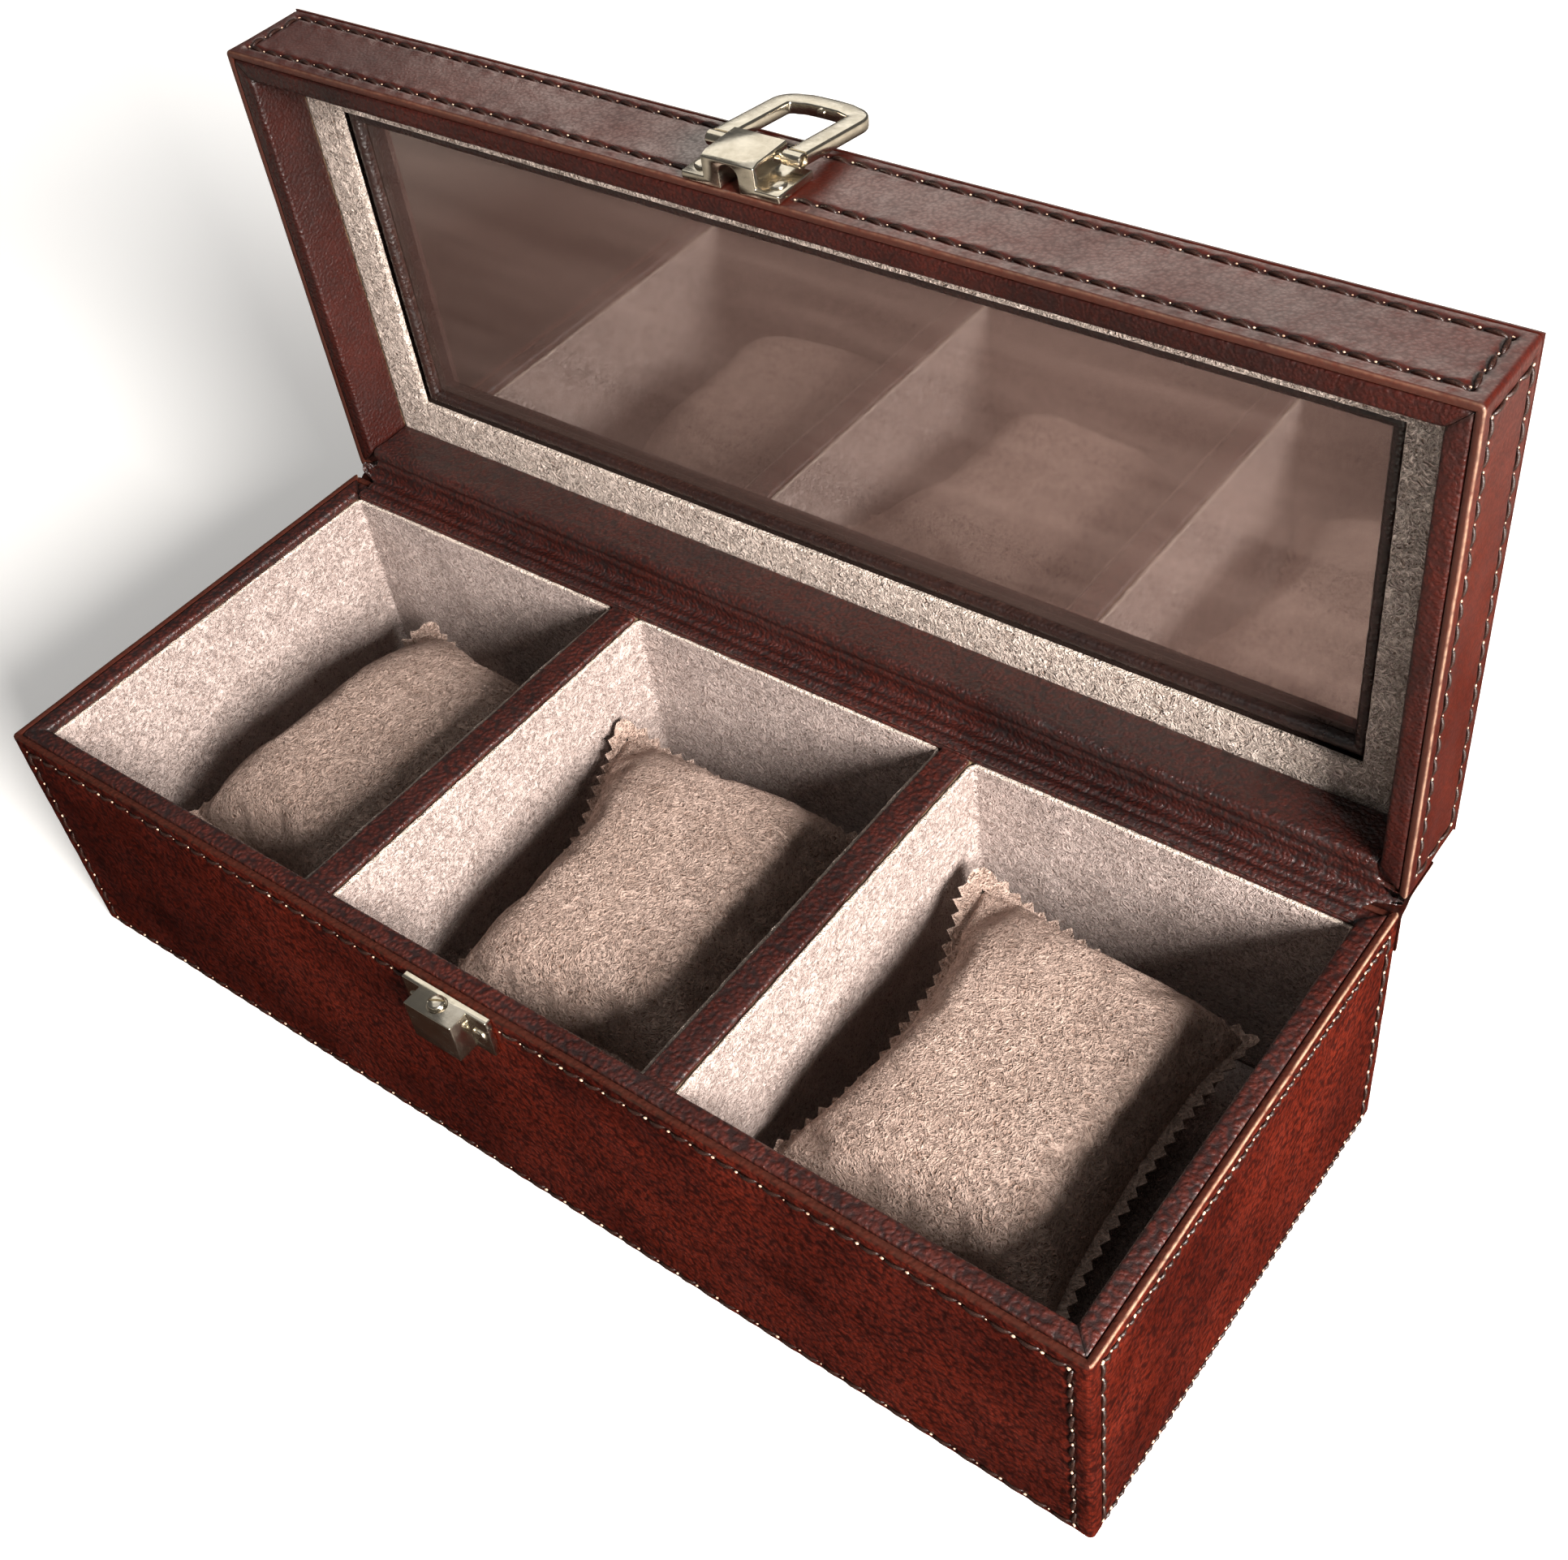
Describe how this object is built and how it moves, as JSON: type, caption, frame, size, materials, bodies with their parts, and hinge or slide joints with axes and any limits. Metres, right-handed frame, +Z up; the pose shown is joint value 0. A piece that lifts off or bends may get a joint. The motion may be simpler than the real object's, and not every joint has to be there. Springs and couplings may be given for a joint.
{
  "type": "watch box",
  "caption": "Leather-covered watch box with a glass lid on a leather hinge, suede-lined compartments with lift-out pillows and a swinging loop clasp.",
  "frame": {"origin": "centre of the flat underside of the box", "axes": "+Z up, +X along the box's length to the right as seen from the front, front with the clasp at -Y, hinge at the back"},
  "size_m": [0.28, 0.1504, 0.1803],
  "materials": {
    "outer_leather": "smooth vegetable-tanned leather, deep red-brown, satin with a soft grey sheen and burnished edges",
    "rim_leather": "fine pebble-grained red-brown leather, satin",
    "dark_leather": "very dark brown leather, semi-gloss",
    "suede": "warm grey-beige suede, soft nap, matt",
    "pillow_suede": "beige suede, brushed nap, matt",
    "board": "plain fibreboard, matt",
    "glass": "clear polished sheet glass, slightly smoky",
    "nickel": "polished nickel plate, faintly warm"
  },
  "bodies": {
    "base": {"base_bottom_cover": "dark_leather", "base_floor_board": "board", "base_front_leather": "outer_leather", "base_front_board": "board", "base_rim_front": "rim_leather", "base_back_leather": "outer_leather", "base_back_board": "board", "base_rim_back": "rim_leather", "base_left_leather": "outer_leather", "base_left_board": "board", "base_rim_left": "rim_leather", "base_right_leather": "outer_leather", "base_right_board": "board", "base_rim_right": "rim_leather", "divider_left_board": "board", "divider_left_cap": "rim_leather", "divider_right_board": "board", "divider_right_cap": "rim_leather", "lining_wall_left": "suede", "lining_floor_left": "suede", "lining_wall_centre": "suede", "lining_floor_centre": "suede", "lining_wall_right": "suede", "lining_floor_right": "suede", "keeper_plate": "nickel", "keeper_stud": "nickel", "keeper_screw_left": "nickel", "keeper_screw_right": "nickel", "hinge_strip_inner": "rim_leather", "hinge_strip_outer": "outer_leather"},
    "lid": {"lid_front_leather": "outer_leather", "lid_front_board": "board", "lid_rim_front": "rim_leather", "lid_back_leather": "outer_leather", "lid_back_board": "board", "lid_rim_back": "rim_leather", "lid_left_leather": "outer_leather", "lid_left_board": "board", "lid_rim_left": "rim_leather", "lid_right_leather": "outer_leather", "lid_right_board": "board", "lid_rim_right": "rim_leather", "lid_top_leather": "outer_leather", "lid_top_frame": "board", "glass_pane": "glass", "glazing_bead": "dark_leather", "lid_suede_frame": "suede", "clasp_plate": "nickel", "clasp_screw_left": "nickel", "clasp_screw_right": "nickel", "bail_pin": "nickel"},
    "bail": {"bail": "nickel"},
    "pillow_left": {"pillow_left": "pillow_suede"},
    "pillow_centre": {"pillow_centre": "pillow_suede"},
    "pillow_right": {"pillow_right": "pillow_suede"}
  },
  "joints": [
    {"name": "lid_hinge", "type": "hinge", "parent": "base", "child": "lid", "pos_m": [0, 0.0562, 0.0626], "axis": [-1, 0, 0], "range_deg": [-90, 0], "deforming": ["hinge_strip_inner", "hinge_strip_outer"]},
    {"name": "bail_swing", "type": "hinge", "parent": "lid", "child": "bail", "pos_m": [-0.001, 0.0655, 0.1781], "axis": [-1, 0, 0], "range_deg": [-187, 0]},
    {"name": "pillow_left_lift", "type": "slide", "parent": "base", "child": "pillow_left", "axis": [0, 0, 1], "range_m": [0, 0.07]},
    {"name": "pillow_centre_lift", "type": "slide", "parent": "base", "child": "pillow_centre", "axis": [0, 0, 1], "range_m": [0, 0.07]},
    {"name": "pillow_right_lift", "type": "slide", "parent": "base", "child": "pillow_right", "axis": [0, 0, 1], "range_m": [0, 0.07]}
  ]
}
